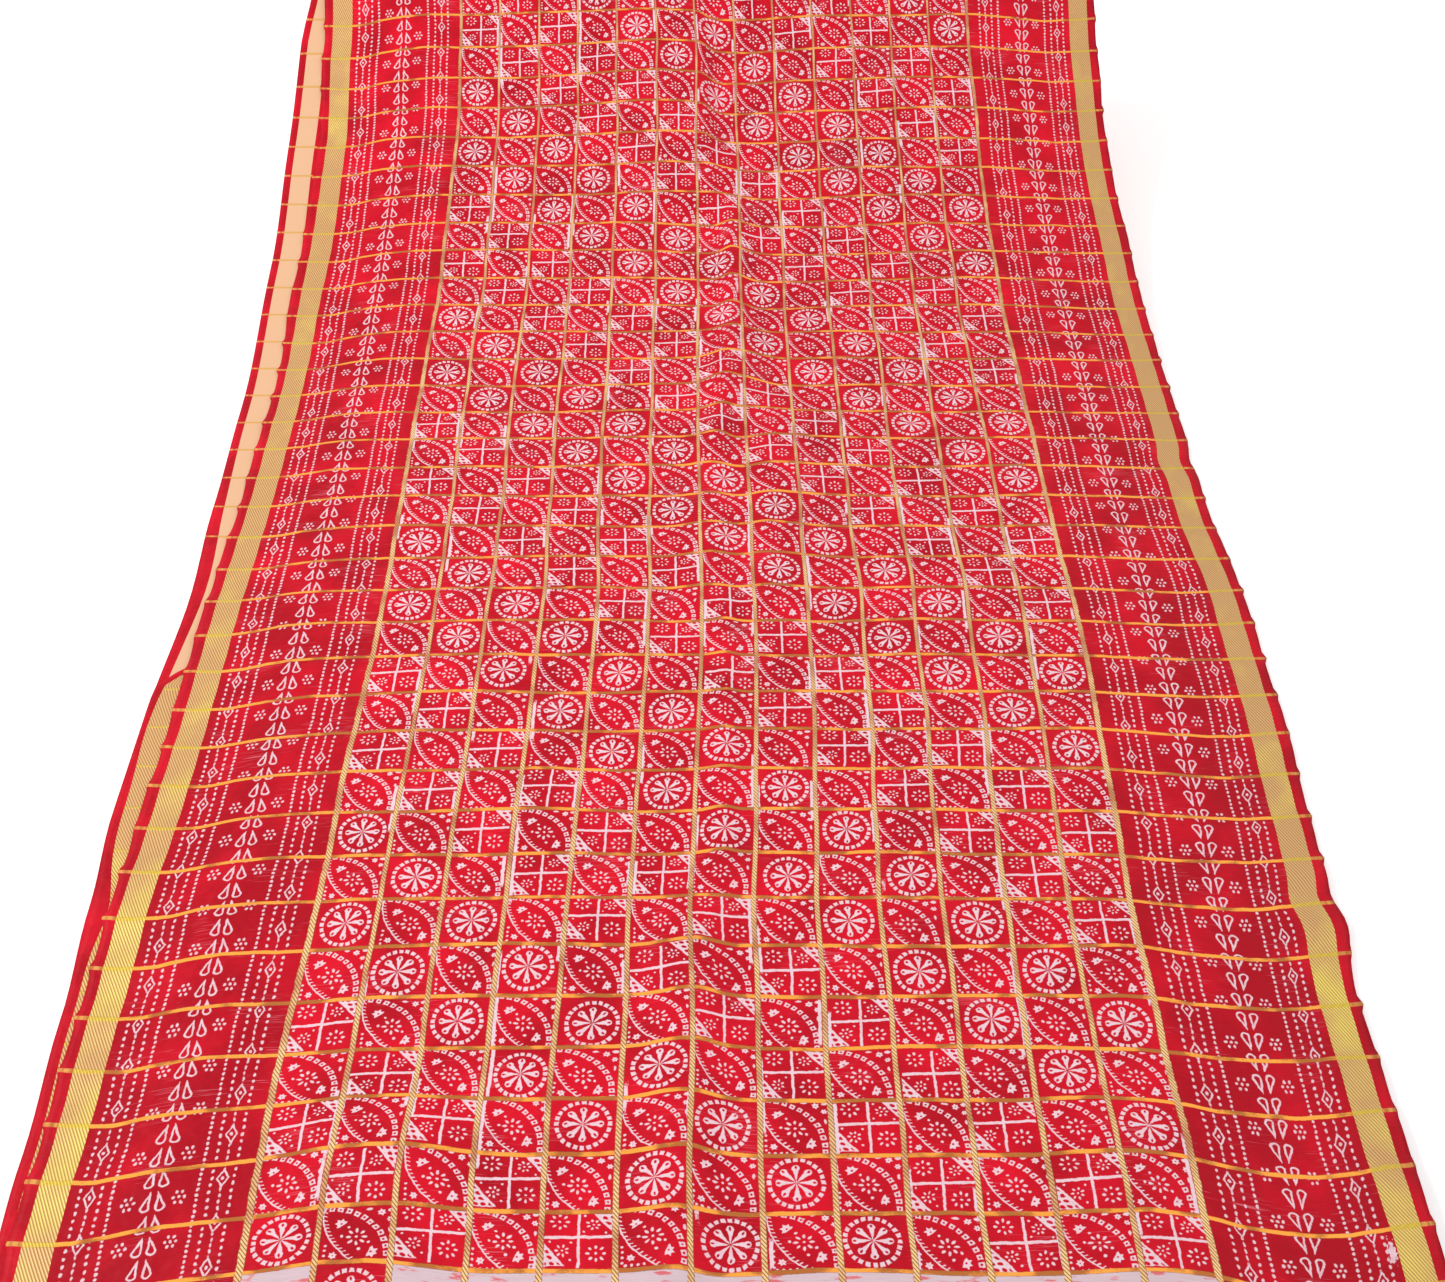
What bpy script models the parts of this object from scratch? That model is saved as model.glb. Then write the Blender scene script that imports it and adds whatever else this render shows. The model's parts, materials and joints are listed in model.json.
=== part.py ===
# Bandhani sari, folded back and forth in three layers and laid on a surface.
#
# The cloth is one woven length. Its patterned face is on top, the layer under
# it shows the wrong side, and a short inner layer lies between the two.
# The far end sweeps up off the surface, as the cloth does where it is shown.
#
# Distances along the cloth are counted in metres from the first gold line of
# the pattern at the far end: below zero is beyond that line, and the cloth
# comes nearer as the distance grows. +X is right, +Y is away, +Z is up.

import math

import bmesh
import bpy
import numpy as np

# Cloth and layers
THICKNESS = 0.0012       # the silk with room for its slub and gold thread
LAYER_STEP = 0.0022      # from the middle of one pressed layer to the next
FAR_FOLD_AT = -0.08      # where the top layer turns under
FAR_FOLD_RADIUS = 0.0035
NEAR_FOLD_AT = 2.055     # where the under layer turns back over itself
NEAR_FOLD_RADIUS = 0.0082
TOP_END_AT = 2.2125      # the near, loose end of the top layer
INNER_END_AT = 1.25      # the hidden, cut end of the inner layer
INNER_CORNER = 0.066     # length of the slanting corner of that cut end
INNER_CORNER_TUCK = 0.05

# Sweep of the far end
SWEEP_FROM = 0.92        # the cloth leaves the surface here
SWEEP_SLOPE = math.radians(27.8)    # slope at the first gold line
SWEEP_POWER = 1.4
SWEEP_STEPS = 160

# Layers that part and meet again, as distances along the cloth
FAR_LOOP_OUT = 0.10      # the soft far fold has closed here
INNER_STEP_FROM = 1.10   # the top layer starts to climb over the inner end
INNER_STEP_TO = 1.235
NEAR_RISE_FROM = 1.70    # the top starts to climb over the soft near fold
NEAR_RISE_TO = 2.045
NEAR_DROP_FROM = 2.065   # and comes down to the surface in front of it
NEAR_DROP_TO = 2.150

# Grid of the sheet
COLUMNS = 18
FOLD_STEPS = 6

# One row per section of the cloth: how far along it is, where the top layer's
# two edges are, and how far the under layer shows past the left one.
SECTIONS = (
    {"at": -0.08, "left": -0.588, "right": 0.549, "shows": 0.010},
    {"at": 0.06, "left": -0.582, "right": 0.546, "shows": 0.029},
    {"at": 0.25, "left": -0.572, "right": 0.544, "shows": 0.038},
    {"at": 0.50, "left": -0.569, "right": 0.552, "shows": 0.035},
    {"at": 0.80, "left": -0.561, "right": 0.560, "shows": 0.032},
    {"at": 1.00, "left": -0.560, "right": 0.561, "shows": 0.028},
    {"at": 1.17, "left": -0.562, "right": 0.571, "shows": 0.019},
    {"at": 1.35, "left": -0.560, "right": 0.571, "shows": 0.030},
    {"at": 1.50, "left": -0.561, "right": 0.566, "shows": 0.026},
    {"at": 1.62, "left": -0.562, "right": 0.563, "shows": 0.017},
    {"at": 1.75, "left": -0.561, "right": 0.558, "shows": 0.014},
    {"at": 1.90, "left": -0.556, "right": 0.556, "shows": 0.011},
    {"at": 2.05, "left": -0.555, "right": 0.556, "shows": 0.003},
    {"at": 2.22, "left": -0.554, "right": 0.557, "shows": 0.002},
)

# One row per soft ridge left in the top layer by the way it was stored.
# A long ridge follows the cloth, a cross ridge runs from edge to edge.
LONG_RIDGES = (
    {"name": "middle crease", "far_x": -0.006, "near_x": 0.012, "half": 0.050, "high": 0.0024},
    {"name": "left border", "far_x": -0.452, "near_x": -0.470, "half": 0.060, "high": 0.0016},
    {"name": "right border", "far_x": 0.462, "near_x": 0.480, "half": 0.055, "high": 0.0014},
)
CROSS_RIDGES = (
    {"name": "upper", "at": 0.86, "half": 0.070, "high": 0.0016},
    {"name": "lower", "at": 1.63, "half": 0.060, "high": 0.0026},
)

# One row per stretch of the path of the cloth, from its loose near end in
# order: layer, where it starts and ends, and how many steps it takes.
STRETCHES = (
    {"layer": "top", "start": TOP_END_AT, "end": NEAR_DROP_TO, "steps": 2},
    {"layer": "top", "start": NEAR_DROP_TO, "end": NEAR_RISE_TO, "steps": 8},
    {"layer": "top", "start": NEAR_RISE_TO, "end": NEAR_RISE_FROM, "steps": 8},
    {"layer": "top", "start": NEAR_RISE_FROM, "end": SWEEP_FROM, "steps": 18},
    {"layer": "top", "start": SWEEP_FROM, "end": FAR_LOOP_OUT, "steps": 16},
    {"layer": "top", "start": FAR_LOOP_OUT, "end": FAR_FOLD_AT, "steps": 5},
    {"layer": "far fold", "start": 0.0, "end": math.pi, "steps": FOLD_STEPS},
    {"layer": "under", "start": FAR_FOLD_AT, "end": SWEEP_FROM, "steps": 20},
    {"layer": "under", "start": SWEEP_FROM, "end": NEAR_FOLD_AT, "steps": 10},
    {"layer": "near fold", "start": 0.0, "end": math.pi, "steps": FOLD_STEPS},
    {"layer": "inner", "start": NEAR_FOLD_AT, "end": NEAR_RISE_FROM, "steps": 9},
    {"layer": "inner", "start": NEAR_RISE_FROM, "end": INNER_END_AT + INNER_CORNER, "steps": 6},
    {"layer": "inner", "start": INNER_END_AT + INNER_CORNER, "end": INNER_END_AT, "steps": 3},
)


def clear_objects():
    for old in list(bpy.data.objects):
        bpy.data.objects.remove(old, do_unlink=True)


def smooth(value, low, high):
    """0 below low, 1 above high and a soft step between them."""
    t = min(max((value - low) / (high - low), 0.0), 1.0)
    return t * t * (3.0 - 2.0 * t)


def section(at, column):
    """One column of SECTIONS, eased from row to row."""
    rows = SECTIONS
    place = min(max(at, rows[0]["at"]), rows[-1]["at"])
    for first, second in zip(rows, rows[1:]):
        if place <= second["at"]:
            ease = smooth(place, first["at"], second["at"])
            return first[column] + (second[column] - first[column]) * ease
    return rows[-1][column]


def slope_at(at):
    """Slope of the cloth's bed: flat near the viewer, steeper beyond."""
    if at >= SWEEP_FROM:
        return 0.0
    return SWEEP_SLOPE * (1.0 - at / SWEEP_FROM) ** SWEEP_POWER


def bed(at):
    """Point (y, z) of the bed under the cloth, and its slope there."""
    if at >= SWEEP_FROM:
        return -at, 0.0, 0.0
    steps = np.linspace(SWEEP_FROM, at, SWEEP_STEPS + 1)
    middles = (steps[1:] + steps[:-1]) / 2.0
    slopes = np.array([slope_at(m) for m in middles])
    length = (SWEEP_FROM - at) / SWEEP_STEPS
    y = -SWEEP_FROM + float(np.sum(np.cos(slopes))) * length
    z = float(np.sum(np.sin(slopes))) * length
    return y, z, slope_at(at)


def above_bed(at, height):
    """Point (y, z) at a height square to the bed."""
    y, z, slope = bed(at)
    return y - math.sin(slope) * height, z + math.cos(slope) * height


def ridge_height(at, x):
    """Height of the stored creases at one point of the top layer."""
    along = min(max(at / NEAR_FOLD_AT, 0.0), 1.0)
    height = 0.0
    for row in LONG_RIDGES:
        middle = row["far_x"] + (row["near_x"] - row["far_x"]) * along
        height += row["high"] * math.exp(-((x - middle) / row["half"]) ** 2)
    for row in CROSS_RIDGES:
        height += row["high"] * math.exp(-((at - row["at"]) / row["half"]) ** 2)
    fade = smooth(at, FAR_FOLD_AT, FAR_LOOP_OUT) * (1.0 - smooth(at, NEAR_DROP_FROM, NEAR_DROP_TO))
    return height * fade


def layer_height(layer, at):
    """Height of the middle of a layer's thickness above the bed."""
    lowest = THICKNESS / 2.0
    if layer == "under":
        return lowest
    pressed = lowest + LAYER_STEP
    rise = smooth(at, NEAR_RISE_FROM, NEAR_RISE_TO)
    lifted = lowest + 2.0 * NEAR_FOLD_RADIUS
    if layer == "inner":
        return pressed + (lifted - pressed) * rise
    over_inner = LAYER_STEP * smooth(at, INNER_STEP_FROM, INNER_STEP_TO)
    height = pressed + over_inner + (lifted - pressed) * rise
    far_loop = 1.0 - smooth(at, FAR_FOLD_AT, FAR_LOOP_OUT)
    height += (2.0 * FAR_FOLD_RADIUS - LAYER_STEP) * far_loop
    drop = smooth(at, NEAR_DROP_FROM, NEAR_DROP_TO)
    return height + (lowest - height) * drop


def edges(layer, at):
    """Left and right edge of a layer."""
    left = section(at, "left")
    right = section(at, "right")
    if layer == "top":
        return left, right
    shows = section(at, "shows")
    left -= shows
    right -= shows
    if layer == "inner":
        left += INNER_CORNER_TUCK * (1.0 - smooth(at, INNER_END_AT, INNER_END_AT + INNER_CORNER))
    return left, right


def fold_point(layer, turn):
    """Point (y, z) and edges on one of the two folds, turned by an angle."""
    share = turn / math.pi
    if layer == "far fold":
        at, radius, first, second = FAR_FOLD_AT, FAR_FOLD_RADIUS, "top", "under"
        rise = radius * math.cos(turn)
        reach = radius * math.sin(turn)
    else:
        at, radius, first, second = NEAR_FOLD_AT, NEAR_FOLD_RADIUS, "under", "inner"
        rise = -radius * math.cos(turn)
        reach = -radius * math.sin(turn)
    y, z, slope = bed(at)
    height = THICKNESS / 2.0 + radius + rise
    y += math.cos(slope) * reach - math.sin(slope) * height
    z += math.sin(slope) * reach + math.cos(slope) * height
    left_a, right_a = edges(first, at)
    left_b, right_b = edges(second, at)
    return y, z, left_a + (left_b - left_a) * share, right_a + (right_b - right_a) * share


def stations():
    """Every section of the cloth from its near end to its hidden end."""
    places = [(STRETCHES[0]["layer"], STRETCHES[0]["start"])]
    for row in STRETCHES:
        span = row["end"] - row["start"]
        for step in range(1, row["steps"] + 1):
            places.append((row["layer"], row["start"] + span * step / row["steps"]))
    return places


def sheet_point(layer, place, share):
    """Point of the sheet's middle at a station, share 0 left to 1 right."""
    if "fold" in layer:
        y, z, left, right = fold_point(layer, place)
        return left + (right - left) * share, y, z
    left, right = edges(layer, place)
    x = left + (right - left) * share
    height = layer_height(layer, place)
    if layer == "top":
        height += ridge_height(place, x)
    y, z = above_bed(place, height)
    return x, y, z


def red_silk():
    material = bpy.data.materials.new("red_silk")
    material.use_nodes = True
    shader = material.node_tree.nodes["Principled BSDF"]
    shader.inputs["Base Color"].default_value = (0.60, 0.012, 0.035, 1.0)
    shader.inputs["Roughness"].default_value = 0.48
    shader.inputs["Metallic"].default_value = 0.0
    return material


def build_cloth():
    """The folded sheet, thickened evenly on both sides of its middle."""
    places = stations()
    form = bmesh.new()
    bmesh.ops.create_grid(form, x_segments=COLUMNS, y_segments=len(places) - 1, size=1.0)
    form.verts.ensure_lookup_table()
    corners = sorted(form.verts, key=lambda v: (round(v.co.y, 5), v.co.x))
    for row, (layer, place) in enumerate(places):
        for column in range(COLUMNS + 1):
            vertex = corners[row * (COLUMNS + 1) + column]
            vertex.co = sheet_point(layer, place, column / COLUMNS)

    # The origin is the middle of the footprint, on the surface
    xs = [v.co.x for v in form.verts]
    ys = [v.co.y for v in form.verts]
    middle_x = (min(xs) + max(xs)) / 2.0
    middle_y = (min(ys) + max(ys)) / 2.0
    for vertex in form.verts:
        vertex.co.x -= middle_x
        vertex.co.y -= middle_y
    bmesh.ops.recalc_face_normals(form, faces=form.faces)

    mesh = bpy.data.meshes.new("sari")
    form.to_mesh(mesh)
    form.free()
    cloth = bpy.data.objects.new("sari", mesh)
    bpy.context.scene.collection.objects.link(cloth)
    mesh.materials.append(red_silk())
    mesh.shade_smooth()

    thicken = cloth.modifiers.new("thickness", "SOLIDIFY")
    thicken.thickness = THICKNESS
    thicken.offset = 0.0
    thicken.use_even_offset = True
    return cloth


clear_objects()
build_cloth()
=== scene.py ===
# %% [markdown]
# # A bandhani sari, folded back and forth and laid out
# This is a red wedding sari of the gharchola kind. The silk is woven with
# gold lines that make a grid, and the small white motifs are kept clear of
# the red dye, so they show on both faces. This script dresses a plain folded
# sheet, which is already in place, with a finer cloth and its finish.

# %% Load the frame
import json
import math

import bmesh
import bpy
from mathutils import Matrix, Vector, noise

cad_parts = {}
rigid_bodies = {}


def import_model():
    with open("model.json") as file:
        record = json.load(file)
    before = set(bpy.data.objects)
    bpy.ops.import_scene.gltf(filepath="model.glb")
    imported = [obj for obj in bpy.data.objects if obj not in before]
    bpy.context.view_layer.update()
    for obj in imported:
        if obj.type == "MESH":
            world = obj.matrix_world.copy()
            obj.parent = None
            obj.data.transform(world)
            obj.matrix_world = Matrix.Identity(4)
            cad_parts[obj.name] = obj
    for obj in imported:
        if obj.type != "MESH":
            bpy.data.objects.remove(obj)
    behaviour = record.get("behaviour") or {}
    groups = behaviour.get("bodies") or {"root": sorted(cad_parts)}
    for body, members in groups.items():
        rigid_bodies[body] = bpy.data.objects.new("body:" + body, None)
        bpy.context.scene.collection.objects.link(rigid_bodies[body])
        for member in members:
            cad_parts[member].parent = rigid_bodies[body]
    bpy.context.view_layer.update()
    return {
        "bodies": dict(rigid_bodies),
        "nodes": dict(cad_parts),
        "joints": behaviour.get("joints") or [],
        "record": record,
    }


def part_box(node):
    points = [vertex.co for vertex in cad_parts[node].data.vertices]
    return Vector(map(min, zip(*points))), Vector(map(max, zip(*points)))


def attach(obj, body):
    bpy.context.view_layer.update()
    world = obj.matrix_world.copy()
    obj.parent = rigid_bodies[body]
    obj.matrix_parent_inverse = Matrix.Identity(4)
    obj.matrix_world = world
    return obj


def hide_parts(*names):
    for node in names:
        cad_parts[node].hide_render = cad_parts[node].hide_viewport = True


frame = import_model()
cad_low, cad_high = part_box("sari")
print("plain sheet from", [round(v, 3) for v in cad_low], "to", [round(v, 3) for v in cad_high])

# %% [markdown]
# ## The cloth before it is folded
# A weaver thinks of the cloth as flat: so far across from the left selvedge,
# and so far along. The gold lines divide the middle into squares, and each
# border has a plain edge, a gold band and a printed strip. All sizes below
# are in metres on that flat cloth, so that every pattern can be drawn there
# and the folding can be worked out apart from it.

# %% Sizes of the woven cloth
SQUARE = 0.0575
SQUARES_ACROSS = 13
SQUARES_ALONG = 35
BORDER = 0.1925          # from the selvedge to the first gold warp line
SELVEDGE = 0.0135        # plain red outside the gold band
ZARI = 0.0272            # the gold band
GRID = SQUARE * SQUARES_ACROSS
WIDTH = GRID + 2.0 * BORDER
SILK = 0.0006            # thickness shown, a little more than real silk
print("woven width", round(WIDTH, 4), "m, grid", round(GRID, 4), "m")

# %% [markdown]
# ## How the cloth lies
# The top layer comes from its loose near end, sweeps up at the far end and
# turns under. The under layer runs back to a soft fold near the viewer, and
# a short inner layer lies between the two. A few named sizes and one short
# table of sections say where each layer goes. This is better than modelling
# the layers apart, because the folds then join them by themselves.

# %% Sizes of the folding
SHEET_STEP = 0.0022      # between the middles of two pressed layers
LOWEST = 0.0006          # middle of the lowest layer above the surface
FAR_FOLD_AT = -0.08
FAR_FOLD_RADIUS = 0.0035
NEAR_FOLD_AT = 2.055
NEAR_FOLD_RADIUS = 0.0082
TOP_END_AT = 2.2125
INNER_END_AT = 1.25
INNER_CORNER = 0.066
INNER_CORNER_TUCK = 0.05
SWEEP_FROM = 0.92
SWEEP_SLOPE = math.radians(27.8)
SWEEP_POWER = 1.4
FAR_LOOP_OUT = 0.10
INNER_STEP = (1.10, 1.235)
NEAR_RISE = (1.70, 2.045)
NEAR_DROP = (2.065, 2.150)



def named_rows(columns, rows):
    """A table whose rows are read by the names of their columns."""
    return [dict(zip(columns, row)) for row in rows]


# Where the edges and the outer gold warp lines lie, and how much of the layer under shows
SECTIONS = named_rows(("at", "left", "warp_left", "warp_right", "right", "shows"), (
    (-0.08, -0.588, -0.386, 0.356, 0.549, 0.014),
    (0.06, -0.582, -0.380, 0.359, 0.546, 0.032),
    (0.25, -0.572, -0.375, 0.361, 0.544, 0.040),
    (0.50, -0.569, -0.374, 0.365, 0.552, 0.035),
    (0.80, -0.561, -0.376, 0.374, 0.560, 0.032),
    (1.00, -0.560, -0.371, 0.376, 0.561, 0.028),
    (1.17, -0.562, -0.368, 0.381, 0.571, 0.019),
    (1.35, -0.560, -0.369, 0.381, 0.571, 0.027),
    (1.50, -0.561, -0.371, 0.377, 0.566, 0.026),
    (1.62, -0.563, -0.372, 0.374, 0.563, 0.017),
    (1.75, -0.561, -0.373, 0.376, 0.558, 0.012),
    (1.90, -0.555, -0.373, 0.377, 0.556, 0.010),
    (2.05, -0.551, -0.368, 0.378, 0.556, 0.007),
    (2.22, -0.550, -0.368, 0.378, 0.557, 0.006),
))
PLAIN_LEFTMOST = -0.611  # how far left the plain sheet reaches, counted as in the table
SHIFT_X = cad_low[0] - PLAIN_LEFTMOST
SHIFT_Y = cad_low[1] + TOP_END_AT
print("the sheet is moved by", round(SHIFT_X, 4), round(SHIFT_Y, 4))


# %% Curves that ease between rows
def smooth(value, low, high):
    """0 below low, 1 above high, and a soft step between them."""
    t = min(max((value - low) / (high - low), 0.0), 1.0)
    return t * t * (3.0 - 2.0 * t)


def bell(value, middle, half):
    """1 at the middle, falling softly to 0 over a few half widths."""
    return math.exp(-((value - middle) / half) ** 2)


def from_table(rows, key, place, column):
    """One column of a table, eased between the rows on each side of a place."""
    place = min(max(place, rows[0][key]), rows[-1][key])
    for first, second in zip(rows, rows[1:]):
        if place <= second[key]:
            ease = smooth(place, first[key], second[key])
            return first[column] + (second[column] - first[column]) * ease
    return rows[-1][column]


def curve_through(rows, key, place, column):
    """One column of a table, as a smooth curve with no kinks at its rows."""
    place = min(max(place, rows[0][key]), rows[-1][key])
    index = 0
    while index < len(rows) - 2 and place > rows[index + 1][key]:
        index += 1
    before, first, second, after = (
        rows[max(index - 1, 0)], rows[index], rows[index + 1], rows[min(index + 2, len(rows) - 1)])
    step = second[key] - first[key]
    leaving = (second[column] - before[column]) / (second[key] - before[key])
    arriving = (after[column] - first[column]) / (after[key] - first[key])
    t = (place - first[key]) / step
    value = first[column] * (1.0 + 2.0 * t) * (1.0 - t) ** 2 + second[column] * t * t * (3.0 - 2.0 * t)
    return value + step * (leaving * t * (1.0 - t) ** 2 - arriving * t * t * (1.0 - t))


print("width of the top layer at 1 m:",
      round(from_table(SECTIONS, "at", 1.0, "right") - from_table(SECTIONS, "at", 1.0, "left"), 3))


# %% The bed that the cloth follows
def slope_at(at):
    """Flat near the viewer, steeper towards the far end."""
    if at >= SWEEP_FROM:
        return 0.0
    return SWEEP_SLOPE * (1.0 - at / SWEEP_FROM) ** SWEEP_POWER


BED_STEP = 0.005
bed_points = [(SWEEP_FROM, -SWEEP_FROM, 0.0)]
while bed_points[-1][0] > FAR_FOLD_AT - BED_STEP:
    at, y, z = bed_points[-1]
    slope = slope_at(at - BED_STEP / 2.0)
    bed_points.append((at - BED_STEP, y + math.cos(slope) * BED_STEP, z + math.sin(slope) * BED_STEP))


def bed(at):
    """Point (y, z) of the bed under the cloth, and its slope there."""
    if at >= SWEEP_FROM:
        return -at, 0.0, 0.0
    place = min((SWEEP_FROM - at) / BED_STEP, len(bed_points) - 1.001)
    index = int(place)
    share = place - index
    _, y0, z0 = bed_points[index]
    _, y1, z1 = bed_points[index + 1]
    return y0 + (y1 - y0) * share, z0 + (z1 - z0) * share, slope_at(at)


print("the far end is", round(bed(FAR_FOLD_AT)[1], 3), "m above the surface")

# %% [markdown]
# ## Creases, waves and bowed lines
# Silk that was stored folded keeps its creases. The middle one wanders and
# changes along the cloth: a step at the far end, a steep ridge that widens, a
# sharp fold, two low ridges, a narrow one, and a broader one near the viewer.
# The borders, stiffer with gold, wave a little. The gold weft lines also bow towards the viewer at both
# borders, because the borders are longer than the middle. A bow is a shift
# along the cloth, so it is put in where the flat cloth is laid on its bed.

# %% Tables of the creases and the bow
# A crease runs from start to stop along the cloth, while its top moves over from
# one x to the other. Rise and fall are its widths to the left and right of the
# top, high is its height, and pull draws the weft lines away from the viewer.
CREASES = named_rows(("name", "start", "stop", "from_x", "to_x", "rise", "fall", "high", "pull"), (
    ("far step", -0.04, 0.26, -0.040, -0.027, 0.150, 0.017, 0.0090, 0.0105),
    ("end of step", 0.26, 0.38, -0.030, -0.012, 0.120, 0.040, 0.0080, 0.0090),
    ("slack by the step", -0.04, 0.60, 0.020, 0.045, 0.100, 0.130, 0.0, -0.0115),
    ("steep ridge", 0.38, 0.62, 0.014, 0.012, 0.017, 0.024, 0.0080, 0.0085),
    ("wide ridge", 0.62, 0.80, 0.013, 0.016, 0.032, 0.040, 0.0085, 0.0078),
    ("sharp fold", 0.70, 0.90, 0.002, -0.004, 0.022, 0.012, 0.0062, 0.0016),
    ("left of two", 0.84, 1.18, -0.012, -0.014, 0.030, 0.022, 0.0040, 0.0030),
    ("right of two", 0.80, 1.20, 0.060, 0.050, 0.024, 0.050, 0.0045, 0.0030),
    ("narrow ridge", 1.16, 1.60, 0.004, 0.001, 0.016, 0.011, 0.0035, 0.0012),
    ("near ridge", 1.62, 2.03, -0.022, -0.038, 0.036, 0.024, 0.0065, 0.0050),
    ("left of near", 1.84, 2.10, -0.262, -0.272, 0.130, 0.055, 0.0035, 0.0075),
    ("right of near", 1.82, 2.10, 0.318, 0.322, 0.055, 0.035, 0.0030, 0.0020),
    ("left border", 0.10, 2.00, -0.452, -0.470, 0.055, 0.055, 0.0018, 0.0),
    ("right border", 0.10, 2.00, 0.462, 0.480, 0.050, 0.050, 0.0016, 0.0),
))
CROSS_RIDGES = (
    {"name": "upper", "at": 0.86, "half": 0.065, "high": 0.0018},
    {"name": "lower", "at": 1.63, "half": 0.055, "high": 0.0030},
)
PINCHES = (
    {"at": 1.163, "x": -0.280, "half_at": 0.011, "half_x": 0.050, "high": 0.0028},
    {"at": 0.905, "x": 0.030, "half_at": 0.012, "half_x": 0.040, "high": 0.0024},
    {"at": 1.880, "x": -0.250, "half_at": 0.014, "half_x": 0.060, "high": 0.0018},
    {"at": 1.745, "x": 0.240, "half_at": 0.013, "half_x": 0.060, "high": 0.0018},
)
BOW = named_rows(("across", "far", "middle", "near"), (
    (0.000, 0.022, 0.026, 0.026),
    (0.030, 0.022, 0.026, 0.028),
    (0.060, 0.020, 0.024, 0.028),
    (0.085, 0.011, 0.016, 0.022),
    (0.105, 0.007, 0.011, 0.017),
    (0.150, 0.001, 0.004, 0.010),
    (0.193, 0.000, 0.001, 0.006),
    (0.260, 0.000, 0.000, 0.000),
    (0.900, 0.000, 0.000, 0.000),
    (0.940, 0.001, 0.000, 0.004),
    (0.977, 0.004, 0.002, 0.014),
    (1.028, 0.009, 0.006, 0.021),
    (1.053, 0.011, 0.007, 0.0215),
    (1.085, 0.010, 0.006, 0.0165),
    (1.105, 0.009, 0.005, 0.0125),
    (1.133, 0.008, 0.004, 0.009),
))
EDGE_STEPS = (
    {"at": 0.905, "half": 0.022, "out": -0.0045},
    {"at": 1.603, "half": 0.020, "out": -0.0040},
    {"at": 1.643, "half": 0.022, "out": 0.0030},
)
UNDER_SLIDE = 0.016      # the under layer has slid towards the viewer
WAVE_ALONG = 0.0045      # how far a weft line wanders from its place
WAVE_ACROSS = 0.0028     # how far a warp line wanders from its place
WAVE_HIGH = 0.0013       # height of the soft waves
RIPPLE_HIGH = 0.0006     # height of the finer ripples
PUFF = 0.0007            # the silk puffs between stiff gold weft lines
EDGE_DIP = 0.0030        # the selvedge draws in between two stiff gold weft ends
END_TAKEN_UP = 0.006     # the cloth is drawn back over the soft near fold
MIDDLE_TAKEN_UP = 0.0035    # and a little where it starts to sweep up
EDGE_CURL = 0.0035       # the selvedge of a lower layer curls and looks narrower
EDGE_PULLS = (           # where that selvedge is pulled flat, or curls more
    {"at": 1.10, "half": 0.12, "wider": 0.0060},
    {"at": 1.38, "half": 0.06, "wider": -0.0040},
    {"at": 1.625, "half": 0.045, "wider": 0.0085},
)


def soft_noise(x, y, size, seed):
    """Smooth waves between about -1 and 1, of about one size."""
    return noise.noise(Vector((x / size, y / size, seed)))


def crease_share(row, at, x):
    """How much of one crease is felt at a point, from 0 to 1."""
    along = min(max((at - row["start"]) / (row["stop"] - row["start"]), 0.0), 1.0)
    middle = row["from_x"] + (row["to_x"] - row["from_x"]) * along
    half = row["rise"] if x < middle else row["fall"]
    begun = smooth(at, row["start"] - 0.05, row["start"] + 0.05)
    ended = smooth(at, row["stop"] - 0.05, row["stop"] + 0.05)
    return bell(x, middle, half) * begun * (1.0 - ended)


def top_x(across, at):
    """The four lines that the photo gives, and even cloth between them."""
    knots = (0.0, BORDER, BORDER + GRID, WIDTH)
    places = [from_table(SECTIONS, "at", at, c) for c in ("left", "warp_left", "warp_right", "right")]
    for first in range(3):
        if across <= knots[first + 1] or first == 2:
            share = (across - knots[first]) / (knots[first + 1] - knots[first])
            return places[first] + (places[first + 1] - places[first]) * share


def bow_at(across, at):
    """How far nearer the weft lies here than in the middle of the cloth."""
    far, middle, near = [curve_through(BOW, "across", across, c) for c in ("far", "middle", "near")]
    bow = far + (middle - far) * smooth(at, 0.2, 0.75)
    bow += (near - bow) * smooth(at, 1.0, 2.0)
    held = smooth(at, FAR_FOLD_AT, 0.0) * (1.0 - smooth(at, NEAR_RISE[1], TOP_END_AT))
    waves = WAVE_ALONG * soft_noise(across, at, 0.13, 3.7)
    x = top_x(across, at)
    pulled = sum(row["pull"] * crease_share(row, at, x) for row in CREASES)
    pulled += END_TAKEN_UP * smooth(at, 1.93, 2.04) + MIDDLE_TAKEN_UP * bell(at, 0.85, 0.22)
    return (bow + waves - pulled) * held


def ridge_height(at, x):
    """Height of the creases and waves at one point of the top layer."""
    height = sum(row["high"] * crease_share(row, at, x) for row in CREASES)
    height += sum(row["high"] * bell(at, row["at"], row["half"]) for row in CROSS_RIDGES)
    for row in PINCHES:
        height += row["high"] * bell(at, row["at"], row["half_at"]) * bell(x, row["x"], row["half_x"])
    height += WAVE_HIGH * soft_noise(x, at, 0.11, 8.1)
    height += RIPPLE_HIGH * soft_noise(x, at, 0.04, 5.3)
    height -= PUFF * math.cos(2.0 * math.pi * at / SQUARE)
    held = smooth(at, FAR_FOLD_AT, FAR_LOOP_OUT) * (1.0 - smooth(at, NEAR_DROP[0], NEAR_DROP[1]))
    return height * held


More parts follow.
